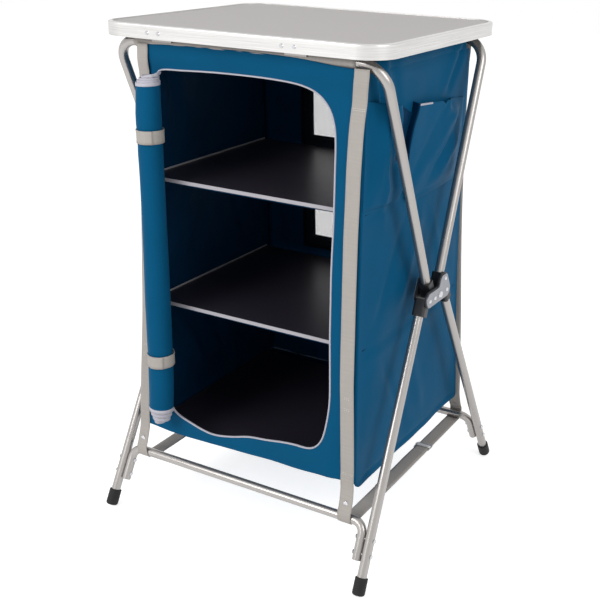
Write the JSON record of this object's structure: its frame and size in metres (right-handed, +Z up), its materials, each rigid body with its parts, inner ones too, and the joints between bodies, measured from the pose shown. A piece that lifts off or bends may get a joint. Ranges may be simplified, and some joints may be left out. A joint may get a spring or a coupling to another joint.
{
  "type": "camping kitchen cupboard",
  "caption": "Folding camping cupboard with a framed worktop on crossed tube frames and a hanging fabric cabinet with shelves and a rolled-up door.",
  "frame": {"origin": "on the floor, under the middle of the cupboard", "axes": "+X to the right seen from the front, front towards -Y, +Z up"},
  "size_m": [0.6326, 0.631, 1.01],
  "materials": {
    "worktop_laminate": "fine grey stipple, satin",
    "satin_aluminium": "satin anodised",
    "stamped_steel": "dull grey, stamped",
    "rivet_steel": "bright",
    "black_plastic": "moulded, satin",
    "black_rubber": "matte",
    "blue_canvas": "coated polyester weave",
    "grey_webbing": "woven webbing",
    "light_piping": "bound edge tape",
    "black_mesh": "open net",
    "shelf_board": "fine grain",
    "light_edging": "satin"
  },
  "bodies": {
    "base_straps": {"bottom_straps": "grey_webbing", "slide_buckles": "black_plastic"},
    "hub_pivots": {"hub_pivot_pins": "rivet_steel", "hub_spacers": "black_plastic"},
    "frame_a": {"front_top_tube": "satin_aluminium", "rear_crossbar": "satin_aluminium", "rear_crossbar_rivets": "rivet_steel", "rear_left_leg": "satin_aluminium", "rear_right_leg": "satin_aluminium", "rear_left_foot_cap": "black_rubber", "rear_right_foot_cap": "black_rubber", "left_inner_hub_link": "black_plastic", "right_inner_hub_link": "black_plastic", "left_inner_hub_plate": "stamped_steel", "right_inner_hub_plate": "stamped_steel", "inner_hub_rivets": "rivet_steel"},
    "frame_b": {"rear_top_tube": "satin_aluminium", "front_crossbar": "satin_aluminium", "front_crossbar_rivets": "rivet_steel", "front_left_leg": "satin_aluminium", "front_right_leg": "satin_aluminium", "front_left_foot_cap": "black_rubber", "front_right_foot_cap": "black_rubber", "left_outer_hub_link": "black_plastic", "right_outer_hub_link": "black_plastic", "left_outer_hub_plate": "stamped_steel", "right_outer_hub_plate": "stamped_steel", "outer_hub_rivets": "rivet_steel"},
    "cabinet": {"left_side_panel": "blue_canvas", "right_side_panel": "blue_canvas", "cabinet_floor": "blue_canvas", "middle_shelf_sling": "blue_canvas", "top_shelf_sling": "blue_canvas", "front_side_pocket": "blue_canvas", "rear_side_pocket": "blue_canvas"},
    "cabinet_front": {"front_panel": "blue_canvas", "front_top_sleeve": "grey_webbing", "door_piping": "light_piping", "door_roll": "blue_canvas", "roll_ties": "grey_webbing", "front_left_strap": "grey_webbing", "front_right_strap": "grey_webbing", "front_strap_studs": "rivet_steel"},
    "cabinet_back": {"back_panel": "blue_canvas", "rear_top_sleeve": "grey_webbing", "window_borders": "black_mesh", "window_meshes": "black_mesh", "rear_left_strap": "grey_webbing", "rear_right_strap": "grey_webbing", "rear_strap_studs": "rivet_steel"},
    "bottom_shelf": {"bottom_shelf_board": "shelf_board", "bottom_shelf_strip": "light_edging"},
    "middle_shelf": {"middle_shelf_board": "shelf_board", "middle_shelf_strip": "light_edging"},
    "top_shelf": {"top_shelf_board": "shelf_board", "top_shelf_strip": "light_edging"},
    "worktop": {"worktop_board": "worktop_laminate", "worktop_edge_trim": "satin_aluminium", "worktop_saddles": "black_plastic", "worktop_rivets": "rivet_steel"}
  },
  "joints": [
    {"name": "hub_rise", "type": "slide", "parent": "base_straps", "child": "hub_pivots", "axis": [0, 0, 1], "range_m": [0, 0.0776]},
    {"name": "frame_fold", "type": "hinge", "parent": "hub_pivots", "child": "frame_a", "pos_m": [0, 0, 0.51], "axis": [-1, 0, 0], "range_deg": [0, 21.5], "deforming": ["left_side_panel", "right_side_panel", "cabinet_floor", "middle_shelf_sling", "top_shelf_sling", "front_side_pocket", "rear_side_pocket", "front_panel", "front_top_sleeve", "door_piping", "door_roll", "roll_ties", "front_left_strap", "front_right_strap", "front_strap_studs", "back_panel", "rear_top_sleeve", "window_borders", "window_meshes", "rear_left_strap", "rear_right_strap", "rear_strap_studs", "bottom_straps"]},
    {"name": "rear_frame_fold", "type": "hinge", "parent": "hub_pivots", "child": "frame_b", "pos_m": [0, 0, 0.51], "axis": [1, 0, 0], "range_deg": [0, 21.55]},
    {"name": "cabinet_rise", "type": "slide", "parent": "base_straps", "child": "cabinet", "axis": [0, 0, 1], "range_m": [0, 0.1222]},
    {"name": "front_panel_close", "type": "slide", "parent": "cabinet", "child": "cabinet_front", "axis": [0, 1, 0], "range_m": [0, 0.1852]},
    {"name": "back_panel_close", "type": "slide", "parent": "cabinet", "child": "cabinet_back", "axis": [0, -1, 0], "range_m": [0, 0.1852]},
    {"name": "worktop_lift", "type": "slide", "parent": "cabinet", "child": "worktop", "axis": [0, 0, 1], "range_m": [0, 0.0602]},
    {"name": "bottom_shelf_turn", "type": "hinge", "parent": "cabinet", "child": "bottom_shelf", "pos_m": [0, 0, 0.179], "axis": [1, 0, 0], "range_deg": [0, 84.2]},
    {"name": "middle_shelf_turn", "type": "hinge", "parent": "cabinet", "child": "middle_shelf", "pos_m": [0, 0, 0.454], "axis": [1, 0, 0], "range_deg": [0, 84.2]},
    {"name": "top_shelf_turn", "type": "hinge", "parent": "cabinet", "child": "top_shelf", "pos_m": [0, 0, 0.712], "axis": [1, 0, 0], "range_deg": [0, 84.2]}
  ],
  "couplings": [
    {"joint": "hub_rise", "follows": "frame_fold", "m_per_rad": 0.20626},
    {"joint": "rear_frame_fold", "follows": "frame_fold", "ratio": 1},
    {"joint": "cabinet_rise", "follows": "frame_fold", "m_per_rad": 0.32512},
    {"joint": "front_panel_close", "follows": "frame_fold", "m_per_rad": 0.49301},
    {"joint": "back_panel_close", "follows": "frame_fold", "m_per_rad": 0.49301},
    {"joint": "worktop_lift", "follows": "frame_fold", "m_per_rad": 0.1599},
    {"joint": "bottom_shelf_turn", "follows": "frame_fold", "ratio": 3.907},
    {"joint": "middle_shelf_turn", "follows": "frame_fold", "ratio": 3.907},
    {"joint": "top_shelf_turn", "follows": "frame_fold", "ratio": 3.907}
  ]
}
